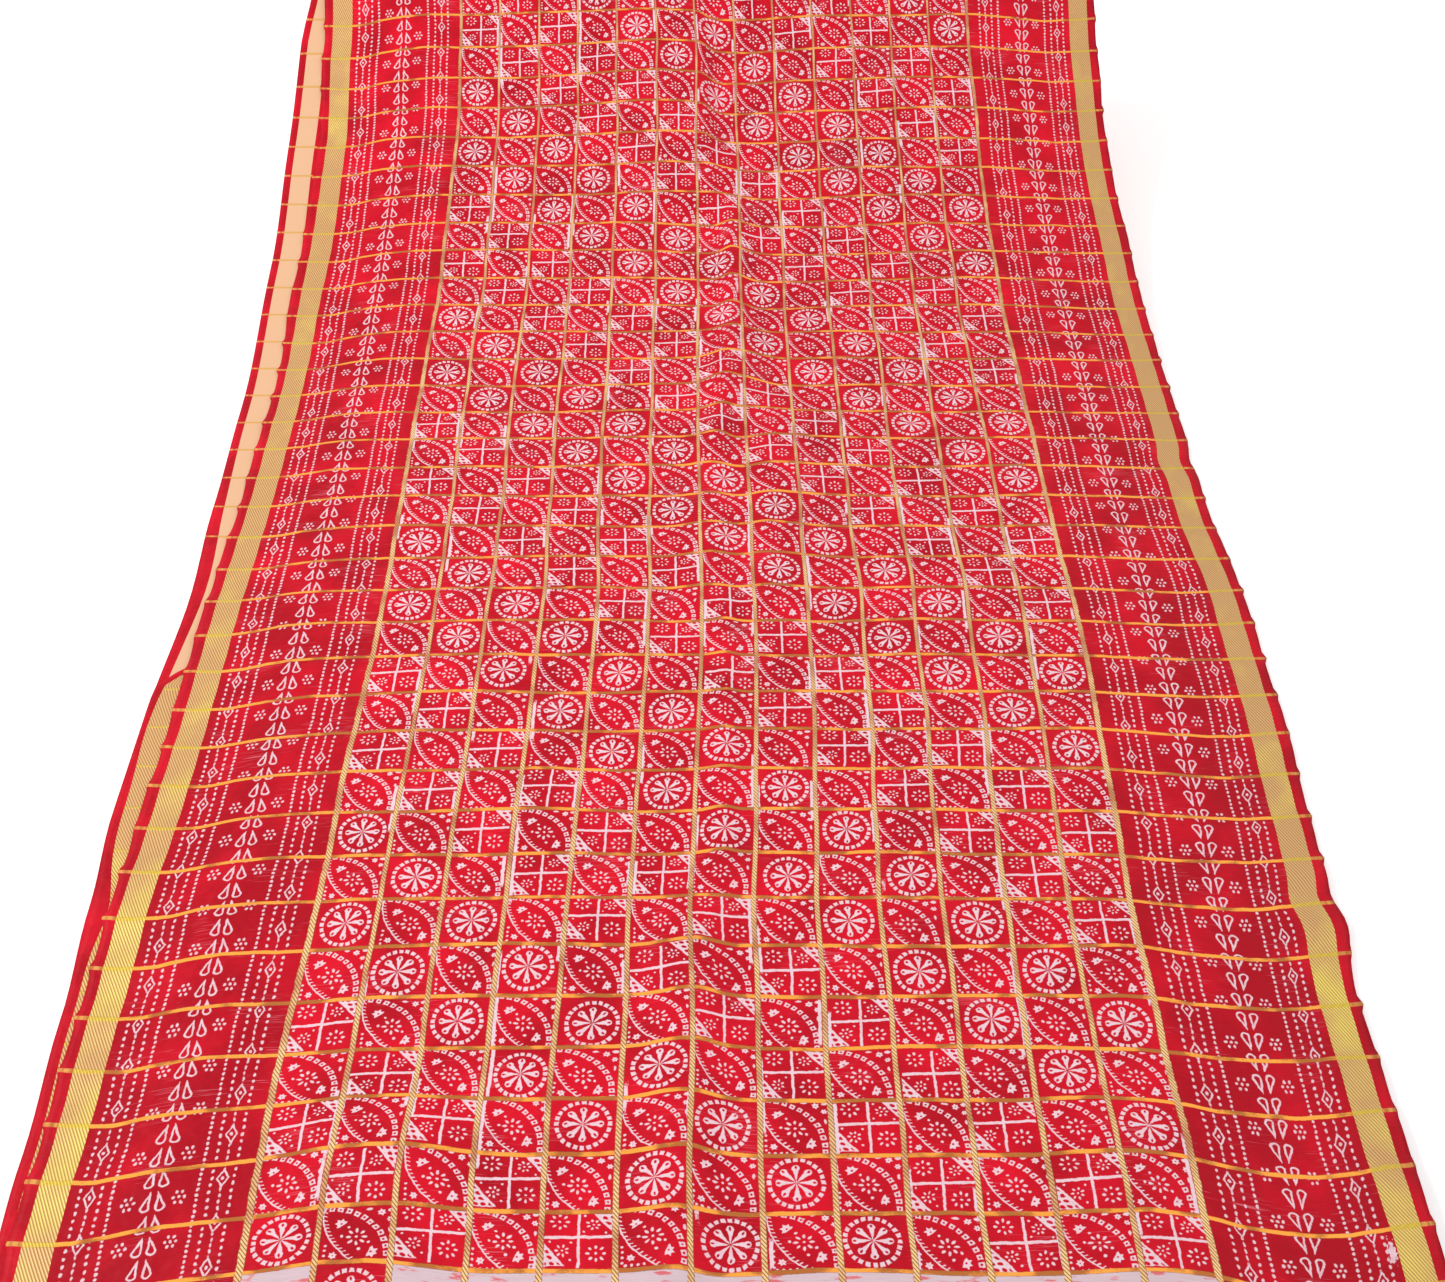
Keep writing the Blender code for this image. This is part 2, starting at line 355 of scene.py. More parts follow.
def sideways(across, at):
    """How far a warp line wanders, and the dips of the selvedge."""
    edge = min(across, WIDTH - across)
    wander = WAVE_ACROSS * soft_noise(across, at, 0.12, 21.0) * smooth(edge, 0.0, 0.08)
    dip = EDGE_DIP * (1.0 - max(math.cos(2.0 * math.pi * at / SQUARE), 0.0) ** 4)
    dip *= (1.0 - smooth(edge, 0.0, 0.016)) * (0.7 + soft_noise(across, at, 0.09, 4.4))
    stepped = sum(row["out"] * bell(at, row["at"], row["half"]) for row in EDGE_STEPS)
    stepped *= smooth(across, WIDTH - 0.08, WIDTH - 0.03)
    return wander + stepped + (dip if across < WIDTH / 2.0 else -dip)


print("bow at the left selvedge:", bow_at(0.0, 1.0))


# %% Where a point of the flat cloth goes
def layer_height(layer, at):
    """Height of the middle of a layer's thickness above the bed."""
    if layer == "under":
        return LOWEST
    pressed = LOWEST + SHEET_STEP
    lifted = LOWEST + 2.0 * NEAR_FOLD_RADIUS
    rise = (lifted - pressed) * smooth(at, *NEAR_RISE)
    if layer == "inner":
        return pressed + rise
    height = pressed + SHEET_STEP * smooth(at, *INNER_STEP) + rise
    far_loop = 1.0 - smooth(at, FAR_FOLD_AT, FAR_LOOP_OUT)
    height += (2.0 * FAR_FOLD_RADIUS - SHEET_STEP) * far_loop
    return height + (LOWEST - height) * smooth(at, *NEAR_DROP)


def lower_x(layer, across, at):
    """The lower layers lie a little to the left of the top one."""
    shows = from_table(SECTIONS, "at", at, "shows")
    left = from_table(SECTIONS, "at", at, "left") - shows
    right = from_table(SECTIONS, "at", at, "right") - shows
    if layer == "inner":
        corner = 1.0 - smooth(at, INNER_END_AT, INNER_END_AT + INNER_CORNER)
        left += INNER_CORNER_TUCK * corner
    pulled_flat = sum(row["wider"] * bell(at, row["at"], row["half"]) for row in EDGE_PULLS)
    curl = EDGE_CURL - pulled_flat
    curl *= smooth(across, 0.0, SELVEDGE) * (1.0 - across / WIDTH)
    return left + (right - left) * across / WIDTH - curl


def lay(layer, across, at):
    """A point of the flat cloth, put where it lies in its layer."""
    if layer == "top":
        place = at + bow_at(across, at)
        x = top_x(across, place) + sideways(across, at)
        height = layer_height(layer, place) + ridge_height(place, x)
    else:
        slid = UNDER_SLIDE if layer == "under" else 0.0
        place = at + slid * smooth(at, FAR_FOLD_AT, 0.16) * (1.0 - smooth(at, 1.3, NEAR_FOLD_AT))
        x = lower_x(layer, across, place)
        height = layer_height(layer, place)
    y, z, slope = bed(place)
    return Vector((x, y - math.sin(slope) * height, z + math.cos(slope) * height))


def lay_fold(layer, across, turn):
    """A point on one of the two folds, at an angle round it."""
    share = turn / math.pi
    if layer == "far fold":
        at, radius, sign = FAR_FOLD_AT, FAR_FOLD_RADIUS, 1.0
        first_x, second_x = top_x(across, at), lower_x("under", across, at)
    else:
        at, radius, sign = NEAR_FOLD_AT, NEAR_FOLD_RADIUS, -1.0
        first_x, second_x = lower_x("under", across, at), lower_x("inner", across, at)
    y, z, slope = bed(at)
    height = LOWEST + radius + sign * radius * math.cos(turn)
    reach = sign * radius * math.sin(turn)
    y += math.cos(slope) * reach - math.sin(slope) * height
    z += math.sin(slope) * reach + math.cos(slope) * height
    return Vector((first_x + (second_x - first_x) * share, y, z))


print("a point in the middle of the top:", [round(v, 4) for v in lay("top", WIDTH / 2.0, 1.0)])

# %% [markdown]
# ## The sheet
# The mesh is a grid whose edges lie on the weaver's own lines: on each gold
# line, and on the edges of the gold bands. A face then belongs to one square
# or one band, and can have that square's own finish. The grid is bent point
# by point onto the folds, and a Solidify modifier gives it the thickness.
# A second layer of faces, made by the modifier, is the wrong side.

# %% Lines of the grid, across and along
STEPS_IN_SELVEDGE = 2
STEPS_IN_ZARI = 3
STEPS_IN_BORDER = 14
STEPS_IN_PLAIN_END = 14
STEPS_PAST_FAR_LINE = 8
STEPS_PER_SQUARE = 6
STEPS_AT_CREASE = 9      # across the two squares that hold the middle crease
CREASED_SQUARES = (6, 7)


def spread(start, end, steps):
    """Evenly spaced places after start, up to and with end."""
    return [start + (end - start) * step / steps for step in range(1, steps + 1)]


columns = [0.0]
columns += spread(0.0, SELVEDGE, STEPS_IN_SELVEDGE)
columns += spread(SELVEDGE, SELVEDGE + ZARI, STEPS_IN_ZARI)
columns += spread(SELVEDGE + ZARI, BORDER, STEPS_IN_BORDER)
for square in range(SQUARES_ACROSS):
    steps = STEPS_AT_CREASE if square in CREASED_SQUARES else STEPS_PER_SQUARE
    columns += spread(BORDER + square * SQUARE, BORDER + (square + 1) * SQUARE, steps)
columns += spread(BORDER + GRID, WIDTH - SELVEDGE - ZARI, STEPS_IN_BORDER)
columns += spread(WIDTH - SELVEDGE - ZARI, WIDTH - SELVEDGE, STEPS_IN_ZARI)
columns += spread(WIDTH - SELVEDGE, WIDTH, STEPS_IN_SELVEDGE)

PATTERN_END = SQUARES_ALONG * SQUARE
top_places = [TOP_END_AT]
top_places += spread(TOP_END_AT, PATTERN_END + SQUARE, STEPS_IN_PLAIN_END)
top_places += spread(PATTERN_END + SQUARE, PATTERN_END, STEPS_PER_SQUARE)
top_places += spread(PATTERN_END, 0.0, SQUARES_ALONG * STEPS_PER_SQUARE)
top_places += spread(0.0, FAR_FOLD_AT, STEPS_PAST_FAR_LINE)
UNDER_STEPS = 72
INNER_STEPS = 40
FOLD_STEPS = 10

rows = [("top", place, place) for place in top_places]
far_arc = math.pi * FAR_FOLD_RADIUS
near_arc = math.pi * NEAR_FOLD_RADIUS
for turn in spread(0.0, math.pi, FOLD_STEPS):
    rows.append(("far fold", turn, FAR_FOLD_AT - far_arc * turn / math.pi))
under_start = rows[-1][2]
for place in spread(FAR_FOLD_AT, NEAR_FOLD_AT, UNDER_STEPS):
    rows.append(("under", place, under_start - (place - FAR_FOLD_AT)))
near_start = rows[-1][2]
for turn in spread(0.0, math.pi, FOLD_STEPS):
    rows.append(("near fold", turn, near_start - near_arc * turn / math.pi))
inner_start = rows[-1][2]
for place in spread(NEAR_FOLD_AT, INNER_END_AT, INNER_STEPS):
    rows.append(("inner", place, inner_start - (NEAR_FOLD_AT - place)))
CLOTH_LENGTH = rows[0][2] - rows[-1][2]
print(len(columns), "lines along,", len(rows), "across; the cloth is", round(CLOTH_LENGTH, 2), "m long")

# %% Which finish each face takes
FINISHES = ("selvedge", "zari band", "border", "wheel", "leaf", "cross", "undyed", "plain")
PATTERN_STOP_UNDER = -1.239     # the grid and the prints stop here, under the top
DYED_IN_STRIP = 1               # the one square of the undyed strip that took the dye


def finish_of(across, along):
    """Name of the finish at the middle of a face."""
    edge = min(across, WIDTH - across)
    if edge < SELVEDGE:
        return "selvedge"
    if edge < SELVEDGE + ZARI:
        return "zari band"
    if along < PATTERN_STOP_UNDER or along > PATTERN_END + SQUARE:
        return "plain"
    if edge < BORDER:
        return "border"
    column = int((across - BORDER) / SQUARE)
    if along > PATTERN_END:
        return "wheel" if column == DYED_IN_STRIP else "undyed"
    row = math.floor(along / SQUARE)
    turn = (column - row) % 8
    if turn in (0, 2):
        return "cross"
    if turn in (4, 6):
        return "wheel"
    return "leaf"


print("first square of the far row:", finish_of(BORDER + 0.01, 0.01))


# %% Bend the grid onto the folds
def make_sheet():
    """The folded sheet as one grid, with its flat places kept as UVs."""
    form = bmesh.new()
    bmesh.ops.create_grid(form, x_segments=len(columns) - 1, y_segments=len(rows) - 1, size=1.0)
    flat = form.verts.layers.float_vector.new("flat")
    ordered = sorted(form.verts, key=lambda v: (round(v.co.y, 6), v.co.x))
    for index, vertex in enumerate(ordered):
        layer, place, along = rows[index // len(columns)]
        across = columns[index % len(columns)]
        if "fold" in layer:
            point = lay_fold(layer, across, place)
        else:
            point = lay(layer, across, place)
        vertex.co = point + Vector((SHIFT_X, SHIFT_Y, 0.0))
        vertex[flat] = Vector((across, along, 0.0))
    weave = form.loops.layers.uv.new("weave")
    for face in form.faces:
        middle = Vector((0.0, 0.0, 0.0))
        for loop in face.loops:
            loop[weave].uv = loop.vert[flat].xy
            middle += loop.vert[flat] / len(face.loops)
        face.material_index = FINISHES.index(finish_of(middle.x, middle.y))
        face.smooth = True
    form.normal_update()
    mesh = bpy.data.meshes.new("sari_cloth")
    form.to_mesh(mesh)
    form.free()
    mesh.attributes.remove(mesh.attributes["flat"])
    return mesh


sheet_mesh = make_sheet()
cloth = bpy.data.objects.new("sari_cloth", sheet_mesh)
bpy.context.scene.collection.objects.link(cloth)
up = sum(p.normal.z > 0.0 for p in sheet_mesh.polygons[:500])
print(len(sheet_mesh.polygons), "faces;", up, "of the first 500 face up")

# %% [markdown]
# ## Numbers in a shader
# A pattern is a rule: at this place on the flat cloth, is there dye or not?
# Blender works out such a rule with Math nodes. The small class below lets a
# rule be written as a sum, and adds the nodes for it. Every drawn shape is a
# distance in millimetres to its outline, below zero inside, because two
# shapes are then joined by taking the lesser one.


# %% A number worked out at each point
class Value:
    """A number that a node tree works out at each point of the cloth."""

    def __init__(self, tree, socket):
        self.tree = tree
        self.socket = socket

    def step(self, operation, *others):
        """Adds one Math node that starts with this number."""
        node = self.tree.nodes.new("ShaderNodeMath")
        node.operation = operation
        for index, item in enumerate((self,) + others):
            if isinstance(item, Value):
                self.tree.links.new(item.socket, node.inputs[index])
            else:
                node.inputs[index].default_value = item
        return Value(self.tree, node.outputs[0])

    def __add__(self, other):
        return self.step("ADD", other)

    def __sub__(self, other):
        return self.step("SUBTRACT", other)

    def __mul__(self, other):
        return self.step("MULTIPLY", other)

    def __truediv__(self, other):
        return self.step("DIVIDE", other)

    def __neg__(self):
        return self.step("MULTIPLY", -1.0)

    def size(self):
        return self.step("ABSOLUTE")

    def whole(self):
        return self.step("FLOOR")

    def lesser(self, other):
        return self.step("MINIMUM", other)

    def greater(self, other):
        return self.step("MAXIMUM", other)

    def wave(self):
        return self.step("SINE")

    def within(self, low, high):
        return self.greater(low).lesser(high)

    def repeated(self, pitch):
        """The same number from the middle of the nearest repeat."""
        return self - self.step("SNAP", pitch) - pitch / 2.0

    def inside(self, limit=0.0, soft=0.25):
        """1 well below the limit, 0 well above it, with a soft edge."""
        node = self.tree.nodes.new("ShaderNodeMapRange")
        node.interpolation_type = "SMOOTHSTEP"
        node.inputs["From Min"].default_value = limit - soft
        node.inputs["From Max"].default_value = limit + soft
        node.inputs["To Min"].default_value = 1.0
        node.inputs["To Max"].default_value = 0.0
        self.tree.links.new(self.socket, node.inputs["Value"])
        return Value(self.tree, node.outputs["Result"])


def length(x, y):
    """Distance from a point, worked out from the two ways to it."""
    return (x * x + y * y).step("SQRT")


print("numbers and distances are ready")


# %% Shapes that the motifs are made of
def dot(x, y, radius):
    return length(x, y) - radius


def oval(x, y, half_x, half_y):
    """An ellipse; its distance is true near the outline."""
    return (length(x / half_x, y / half_y) - 1.0) * min(half_x, half_y)


def block(x, y, half_x, half_y):
    """A rectangle with its middle at zero."""
    return (x.size() - half_x).greater(y.size() - half_y)


def spokes(x, y, count, turn=0.0):
    """Turns the place so that the nearest of some spokes points along x."""
    step = 2.0 * math.pi / count
    angle = y.step("ARCTAN2", x) - turn
    off = angle - (angle / step).step("ROUND") * step
    radius = length(x, y)
    return radius * off.step("COSINE"), radius * off.step("SINE")


def flower(x, y, count, radius, half_long, half_wide):
    """Petals around a dot."""
    out, side = spokes(x, y, count)
    petal = oval(out - radius, side, half_long, half_wide)
    return petal.lesser(dot(x, y, half_wide))


def star(x, y, radius, turn):
    """A blob with six blunt points and a small hole."""
    out, side = spokes(x, y, 6, turn)
    point = (side.size() * 1.35 + out - radius) * 0.8
    return point.greater(-dot(x, y, radius * 0.15))


def crown(x, y, radius, turn):
    """A blob with spikes on one side, a flat base and a small hole."""
    toward = x * math.cos(turn) + y * math.sin(turn)
    out, side = spokes(x, y, 7, turn)
    spikes = (side.size() * 1.5 + out - radius) * 0.7
    body = dot(x, y, radius * 0.52).lesser(spikes).greater(-toward - radius * 0.36)
    return body.greater(-dot(x, y, radius * 0.17))


print("dots, ovals, blocks, spokes, flowers, stars and crowns")


# %% The node tree of one finish
RELIEF_DEPTH = 0.0006    # metres of relief for one unit of height
SILK_SPECULAR = 0.12     # threads scatter the light, so little of it mirrors


def dye(code):
    """A colour written as RRGGBB, turned into the numbers of light."""
    parts = [int(code[i:i + 2], 16) / 255.0 for i in (0, 2, 4)]
    return [((p + 0.055) / 1.055) ** 2.4 if p > 0.04045 else p / 12.92 for p in parts] + [1.0]


class Finish:
    """One material, with the place on the flat cloth in millimetres."""

    def __init__(self, name):
        self.material = bpy.data.materials.new(name)
        self.material.use_nodes = True
        self.tree = self.material.node_tree
        self.shader = self.tree.nodes["Principled BSDF"]
        place = self.tree.nodes.new("ShaderNodeUVMap")
        place.uv_map = "weave"
        split = self.tree.nodes.new("ShaderNodeSeparateXYZ")
        self.tree.links.new(place.outputs["UV"], split.inputs["Vector"])
        self.across = Value(self.tree, split.outputs["X"]) * 1000.0
        self.along = Value(self.tree, split.outputs["Y"]) * 1000.0

    def cloud(self, x, y, seed=0.0, detail=1.0):
        """Soft noise between 0 and 1; x and y are in grains."""
        node = self.tree.nodes.new("ShaderNodeTexNoise")
        node.noise_dimensions = "2D"
        node.inputs["Scale"].default_value = 1.0
        node.inputs["Detail"].default_value = detail
        join = self.tree.nodes.new("ShaderNodeCombineXYZ")
        self.tree.links.new((x + seed).socket, join.inputs["X"])
        self.tree.links.new(y.socket, join.inputs["Y"])
        self.tree.links.new(join.outputs["Vector"], node.inputs["Vector"])
        return Value(self.tree, node.outputs["Fac"])

    def mix(self, amount, first, second):
        """One colour laid over another by an amount."""
        node = self.tree.nodes.new("ShaderNodeMix")
        node.data_type = "RGBA"
        self.tree.links.new(amount.socket, node.inputs[0])
        for index, item in ((6, first), (7, second)):
            if isinstance(item, list):
                node.inputs[index].default_value = item
            else:
                self.tree.links.new(item, node.inputs[index])
        return node.outputs[2]

    def finish(self, colour, height, rough, metal=None):
        """Joins colour, relief, roughness and metal to the shader."""
        self.tree.links.new(colour, self.shader.inputs["Base Color"])
        bump = self.tree.nodes.new("ShaderNodeBump")
        bump.inputs["Distance"].default_value = RELIEF_DEPTH
        bump.inputs["Strength"].default_value = 1.0
        self.tree.links.new(height.socket, bump.inputs["Height"])
        self.tree.links.new(bump.outputs["Normal"], self.shader.inputs["Normal"])
        self.shader.inputs["Specular IOR Level"].default_value = SILK_SPECULAR
        if isinstance(rough, Value):
            self.tree.links.new(rough.socket, self.shader.inputs["Roughness"])
        else:
            self.shader.inputs["Roughness"].default_value = rough
        if metal is not None:
            self.tree.links.new(metal.socket, self.shader.inputs["Metallic"])
        return self.material


print("red dye as light:", [round(v, 3) for v in dye("C8142D")])

# %% [markdown]
# ## The red silk ground
# The silk is a satin with a slub: fine threads of uneven thickness run across
# it, and the dye took a little more in some places than in others. Two soft
# noises give the red its clouds, which are partly that uneven dye and partly a
# painted sheen of the satin, and its rubbed places; one that is drawn out along
# the weft gives the slub, in colour and in relief.

# %% Red ground
RED_BRIGHT = dye("DA0A26")
RED_DEEP = dye("A90419")
RESIST = dye("E6C8D0")
RUBBED = dye("EE8C9C")


def red_ground(finish, deeper=0.0, worn=0.4):
    """The dyed silk without any motif, and its relief."""
    # The clouds are partly uneven dye and partly a painted sheen: the satin's soft bright patches painted
    # into the red.
    dye_and_sheen_clouds = finish.cloud(finish.across / 60.0, finish.along / 75.0, 4.0, 3.0)
    slub = finish.cloud(finish.across / 30.0, finish.along / 0.9, 11.0, 2.0)
    amount = dye_and_sheen_clouds * 1.9 + slub * 0.4 - 0.66 + deeper
    colour = finish.mix(amount.within(0.0, 1.0), RED_BRIGHT, RED_DEEP)
    rub = finish.cloud(finish.across / 40.0, finish.along / 0.7, 90.0, 2.0)
    where = finish.cloud(finish.across / 70.0, finish.along / 50.0, 95.0, 1.0)
    rubbed = (-(rub + where * 0.55)).inside(-1.06, 0.04) * worn
    colour = finish.mix(rubbed, colour, RUBBED)
    pucker = finish.cloud(finish.across / 14.0, finish.along / 11.0, 2.0, 1.0)
    return colour, slub * 0.35 + pucker * 1.6


def printed(finish, ground, distance, fade=0.88):
    """Motifs kept clear of the dye: white with soft, slightly pink edges."""
    worn = finish.cloud(finish.across / 7.0, finish.along / 7.0, 31.0, 2.0)
    ragged = finish.cloud(finish.across / 2.6, finish.along / 2.6, 33.0, 1.0)
    kept = (worn * 0.5 + fade - 0.15).within(0.0, 1.0)
    cover = (distance + (ragged - 0.5) * 0.9).inside(0.0, 0.35) * kept
    return finish.mix(cover, ground, RESIST)


def wander(finish, reach, size, seed):
    """A small shift that makes drawn lines look hand-made."""
    along = finish.cloud(finish.across / size, finish.along / size, seed, 1.0)
    across = finish.cloud(finish.across / size, finish.along / size, seed + 37.0, 1.0)
    return (across - 0.5) * (2.0 * reach), (along - 0.5) * (2.0 * reach)


print("red ground and print")

# %% [markdown]
# ## Gold lines
# The weft lines are flat ribbons of gold thread, in streaks of bright orange
# and brown: a painted highlight and painted shade, where the wavy cloth catches
# the light or turns from it. The warp lines are twisted like a rope, which shows
# as slanting dashes, with painted shade in the grooves of the twist and in some
# stretches. Both are woven in, so they are part of the cloth's finish, with a
# slight relief.

# %% Gold weft ribbons and gold warp ropes
# The ribbon's bright orange is a painted highlight and its brown a painted shade, where the wavy cloth
# catches the light or turns from it.
RIBBON_PAINTED_HIGHLIGHT = dye("FDA746")
RIBBON_PAINTED_SHADE = dye("B86C34")
SELVEDGE_RIBBON = dye("DC9A50")
ROPE_LIGHT = dye("FAD092")
ROPE_MIDDLE = dye("D08E64")
# Painted shade in the grooves of the rope's twist.
ROPE_PAINTED_SHADE = dye("7A3A1C")
RIBBON_HALF = 1.75       # millimetres, at the far end
ROPE_HALF = 1.55
ROPE_HALF_OUTER = 2.1
WIDER_PER_MM = 0.0005    # the gold lies flatter and wider towards the near end
WEFT_SWAY = 2.4
MM_SQUARE = SQUARE * 1000.0
MM_BORDER = BORDER * 1000.0
MM_GRID = GRID * 1000.0


def weft_gap(finish, bend):
    """Distance from the nearest gold weft line."""
    return (finish.along + MM_SQUARE / 2.0 + bend).repeated(MM_SQUARE).size()


def weft_sway(finish):
    """How far the gold weft lines wander, the same in every finish."""
    return (finish.cloud(finish.across / 26.0, finish.along / 26.0, 77.0, 1.0) - 0.5) * WEFT_SWAY


def spread_flat(finish, gap):
    """A gap that is counted less towards the near end, so the ribbon widens."""
    return gap - finish.along * (WIDER_PER_MM * 0.5)


def above_pattern_stop(finish):
    """1 where the grid is woven in, 0 on the hidden plain part."""
    return (-finish.along).inside(-PATTERN_STOP_UNDER * 1000.0, 1.0)


def add_ribbon(finish, colour, gap, painted_shade_level=0.5):
    """Lays the gold weft ribbon over a colour, in streaks of painted highlight and painted shade."""
    streak = finish.cloud(finish.across / 40.0, finish.along / 31.0, 53.0, 2.0)
    threads = finish.cloud(finish.across / 3.0, finish.along / 0.6, 60.0, 1.0)
    # Streaks of painted shade on the ribbon, between its painted highlights.
    shade = (streak + threads * 0.18 - 0.09).inside(painted_shade_level, 0.08)
    ribbon = finish.mix(shade, RIBBON_PAINTED_HIGHLIGHT, RIBBON_PAINTED_SHADE)
    cover = spread_flat(finish, gap + (threads - 0.5) * 0.7).inside(RIBBON_HALF, 0.3)
    return finish.mix(cover, colour, ribbon), cover


def add_rope(finish, colour, gap, half):
    """Lays a twisted gold warp line over a colour, with painted shade in the grooves of its twist."""
    twist = ((finish.along - finish.across * 1.5) * (2.0 * math.pi / 4.5)).wave()
    stretch = finish.cloud(finish.across / 40.0, finish.along / 48.0, 71.0, 2.0)
    fleck = finish.cloud(finish.across / 0.9, finish.along / 1.6, 74.0, 1.0)
    # The rope runs duller in stretches: partly its thread's own tone, partly painted shade.
    dull_and_shaded = (stretch * 3.2 - 0.85 + (fleck - 0.5) * 0.6 - finish.along * 0.0003).within(0.0, 1.0)
    rope = finish.mix(dull_and_shaded, ROPE_LIGHT, ROPE_MIDDLE)
    # Painted shade in the grooves between the twisted strands, deeper towards the near end.
    painted_groove_shade = (-twist).inside(-0.35, 0.4) * (finish.along * 0.00015 + 0.5)
    rope = finish.mix(painted_groove_shade, rope, ROPE_PAINTED_SHADE)
    cover = (gap - twist * 0.35 - finish.along * WIDER_PER_MM).inside(half, 0.3)
    return finish.mix(cover, colour, rope), cover


print("ribbon", 2.0 * RIBBON_HALF, "mm, rope", 2.0 * ROPE_HALF, "mm")

# %% [markdown]
# ## The squares
# Three motifs take turns on slanting lines over the grid: a wheel, a leaf
# and a cross. They are traditional, and each is drawn here from its own rule
# of rings, petals and dots, with no picture. The place in a square is counted
# from its middle: x to the right and y away from the viewer.


# %% The wheel
def wheel(x, y):
    """Eight drop-shaped petals in a ring of small blocks."""
    y = y * 0.91
    out, side = spokes(x, y, 24)
    ring = block(out - 21.5, side, 1.75, 1.8)
    out, side = spokes(x, y, 8)
    taper = side.size() - out * 0.2 + 0.1
    petal = dot(out - 13.4, side, 3.0).lesser(taper.greater(out - 13.4))
    seed = oval(out - 14.1, side, 1.6, 1.0)
    return ring.lesser(petal.greater(-seed))


# %% The leaf
def leaf(x, y):
    """A pointed leaf from corner to corner, with a flower and two crowns."""
    x, y = x + 0.7, y + 2.5
    # Chain of hollow blocks along the upper edge of the leaf
    chain_x, chain_y = x + 26.4, y + 19.5
    out = length(chain_x, chain_y) - 50.2
    side = (chain_y.step("ARCTAN2", chain_x) * 50.2).repeated(7.0)
    chain = block(out, side, 2.3, 2.2).greater(-dot(out, side, 1.05))
    # Combed line along the lower edge, its teeth slanting inwards
    comb_x, comb_y = x - 35.9, y - 28.1
    out = length(comb_x, comb_y) - 63.7
    tooth_at = (comb_y.step("ARCTAN2", comb_x) * 63.7).repeated(4.3)
    tooth = block(out + 1.7, tooth_at + out * 0.45, 1.6, 0.55)
    shape = chain.lesser(out.size() - 0.6).lesser(tooth)
    # Flower, crowns and single dots inside
    shape = shape.lesser(flower(x, y, 8, 6.4, 2.0, 1.1))
    shape = shape.lesser(crown(x + 12.8, y - 14.3, 5.4, 2.2)).lesser(crown(x - 11.8, y + 14.6, 5.4, -0.4))
    shape = shape.lesser(dot(x + 6.2, y - 10.2, 1.1)).lesser(dot(x - 9.4, y + 5.6, 1.2))
    shape = shape.lesser(dot(x + 11.2, y - 1.0, 1.2)).lesser(dot(x - 2.6, y + 12.4, 1.3))
    # Dots along the two lower edges, and a small star in their corner
    low = (x + 23.6).lesser(y + 24.6)
    high = (x + 23.6).greater(y + 24.6)
    edge = dot(low, high.repeated(4.9), 1.1).greater(high - 18.0)
    shape = shape.lesser(edge).lesser(star(x + 17.2, y + 18.0, 3.4, 0.2))
    # Three blobs and two long dots in the upper right corner
    shape = shape.lesser(oval(x - 25.0, y - 8.0, 1.1, 2.4)).lesser(oval(x - 8.5, y - 28.3, 2.5, 1.1))
    shape = shape.lesser(star(x - 17.6, y - 25.2, 3.3, 0.7)).lesser(star(x - 24.4, y - 18.6, 2.9, 0.1))
    return shape.lesser(oval(x - 25.0, y - 27.4, 2.6, 1.7))


# %% The cross
def cross(x, y):
    """Two bars, two rings of dots and two netted corners."""
    y = y - 1.6
    bars = block(x - 0.8, y + 2.0, 1.1, 27.0).lesser(block(x, y - x * 0.03, 27.0, 1.4))
    wide, tall = x.size(), y.size()
    ring = flower(wide - 14.2, tall - 15.6, 8, 6.3, 1.6, 1.05)
    # The net is a white triangle with rows of one, two and three holes
    near_x, near_y = -wide + 27.4, -tall + 27.4
    hem = near_x * 1.22 + near_y
    net = ((hem - 22.4) * 0.63).greater(-near_x).greater(-near_y)
    hole = oval((near_x + near_y * 0.4).repeated(6.0), (near_y + 0.4).repeated(5.3), 2.1, 1.7)
    net = net.greater(-(hole.greater((hem - 19.4) * 0.63)))
    small = flower(wide - 11.8, tall - 13.2, 7, 4.3, 1.3, 0.85)
    single = dot(wide - 5.4, tall - 21.6, 1.0).lesser(dot(wide - 21.5, tall - 4.7, 1.0))
    netted = net.lesser(small).lesser(single).lesser(dot(wide - 5.0, tall - 5.6, 0.9))
    # The netted corners are where x and y have the same sign
    same = (x * y * 0.05).within(-40.0, 40.0)
    return bars.lesser(ring.greater(same)).lesser(netted.greater(-same))


print("wheel, leaf and cross are drawn by rule")


